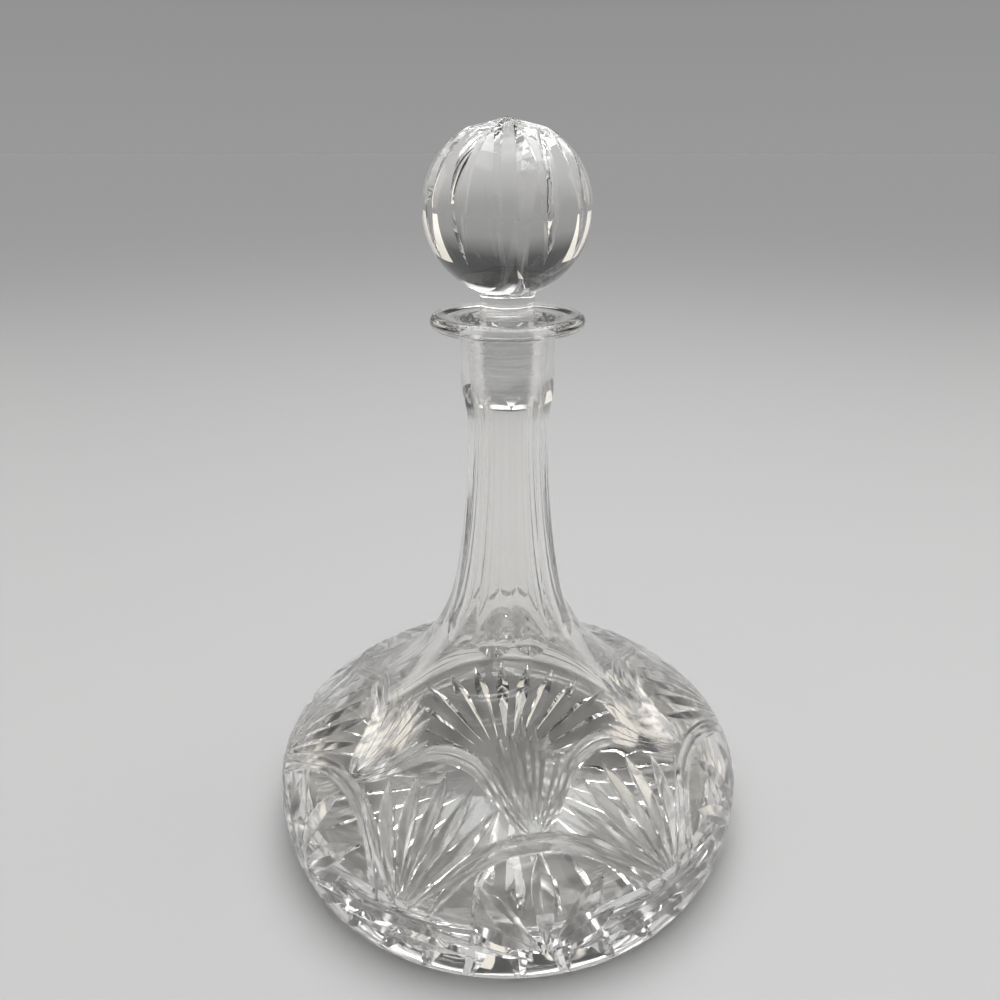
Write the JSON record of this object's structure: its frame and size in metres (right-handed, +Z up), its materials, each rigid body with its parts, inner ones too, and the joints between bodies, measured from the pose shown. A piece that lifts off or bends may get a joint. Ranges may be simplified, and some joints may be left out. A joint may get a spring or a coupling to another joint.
{
  "type": "ships decanter",
  "caption": "Squat wide-based glass decanter with a fluted neck and flat round lip, closed by a lift-out ball stopper with a tapered ground plug.",
  "frame": {"origin": "centre of the underside, on the surface the decanter stands on", "axes": "+Z up along the axis of the bottle, -Y towards the front of the picture"},
  "size_m": [0.1898, 0.19, 0.274],
  "materials": {
    "bottle_crystal": "clear polished crystal with cut mitres, ground seat inside the mouth",
    "stopper_crystal": "clear polished crystal, plug ground matt with fine rings"
  },
  "bodies": {
    "decanter": {"decanter_body": "bottle_crystal"},
    "stopper": {"stopper": "stopper_crystal"}
  },
  "joints": [
    {"name": "stopper_lift", "type": "slide", "parent": "decanter", "child": "stopper", "axis": [0, 0, 1], "range_m": [0, 0.05]}
  ]
}
